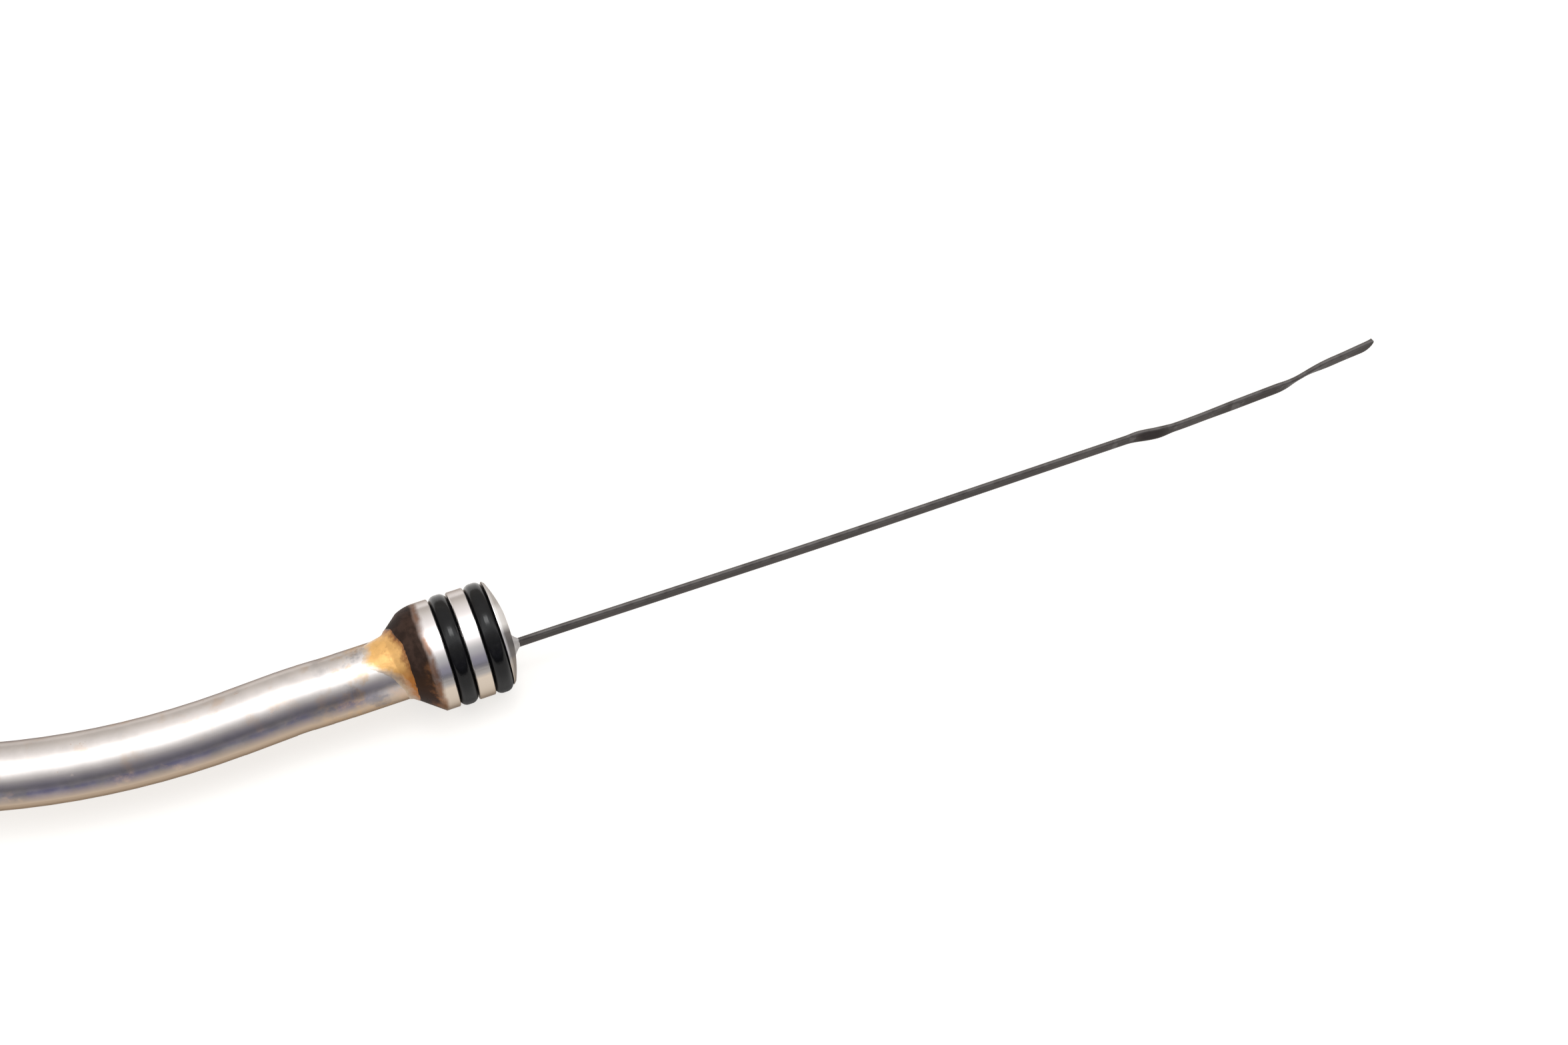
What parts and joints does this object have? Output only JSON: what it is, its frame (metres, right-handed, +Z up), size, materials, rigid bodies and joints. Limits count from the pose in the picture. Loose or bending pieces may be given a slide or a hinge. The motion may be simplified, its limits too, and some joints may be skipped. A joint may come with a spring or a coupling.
{
  "type": "engine oil dipstick with guide tube",
  "caption": "Flat wire oil dipstick lying in its bent steel guide tube, which has a brazed end fitting with ring seals, a bracket and a pull ring grip.",
  "frame": {"origin": "on the axis of the end fitting, midway between its two seals, at the middle of the land between the seal grooves", "axes": "+X along the end fitting's axis towards the blade's tip, +Z up as the part lies on a bench, +Y to the side that the tube bends towards"},
  "size_m": [0.4407, 0.1249, 0.0208],
  "materials": {
    "tube_steel": "bright drawn steel with faint rust specks",
    "turned_steel": "turned, bright, dark scale on the shoulder",
    "blade_steel": "dark oiled spring steel",
    "braze": "satin braze, darker at its edges",
    "seal_rubber": "smooth black rubber",
    "grip_plastic": "plain moulded yellow"
  },
  "bodies": {
    "root": {"guide_tube": "tube_steel", "end_fitting": "turned_steel", "fitting_braze": "braze", "front_seal": "seal_rubber", "rear_seal": "seal_rubber", "blade": "blade_steel", "blade_collar": "turned_steel", "stem": "turned_steel", "cross_pin": "turned_steel", "upper_stem_seal": "seal_rubber", "lower_stem_seal": "seal_rubber", "grip": "grip_plastic", "mounting_bracket": "tube_steel", "bracket_braze": "braze"}
  },
  "joints": []
}
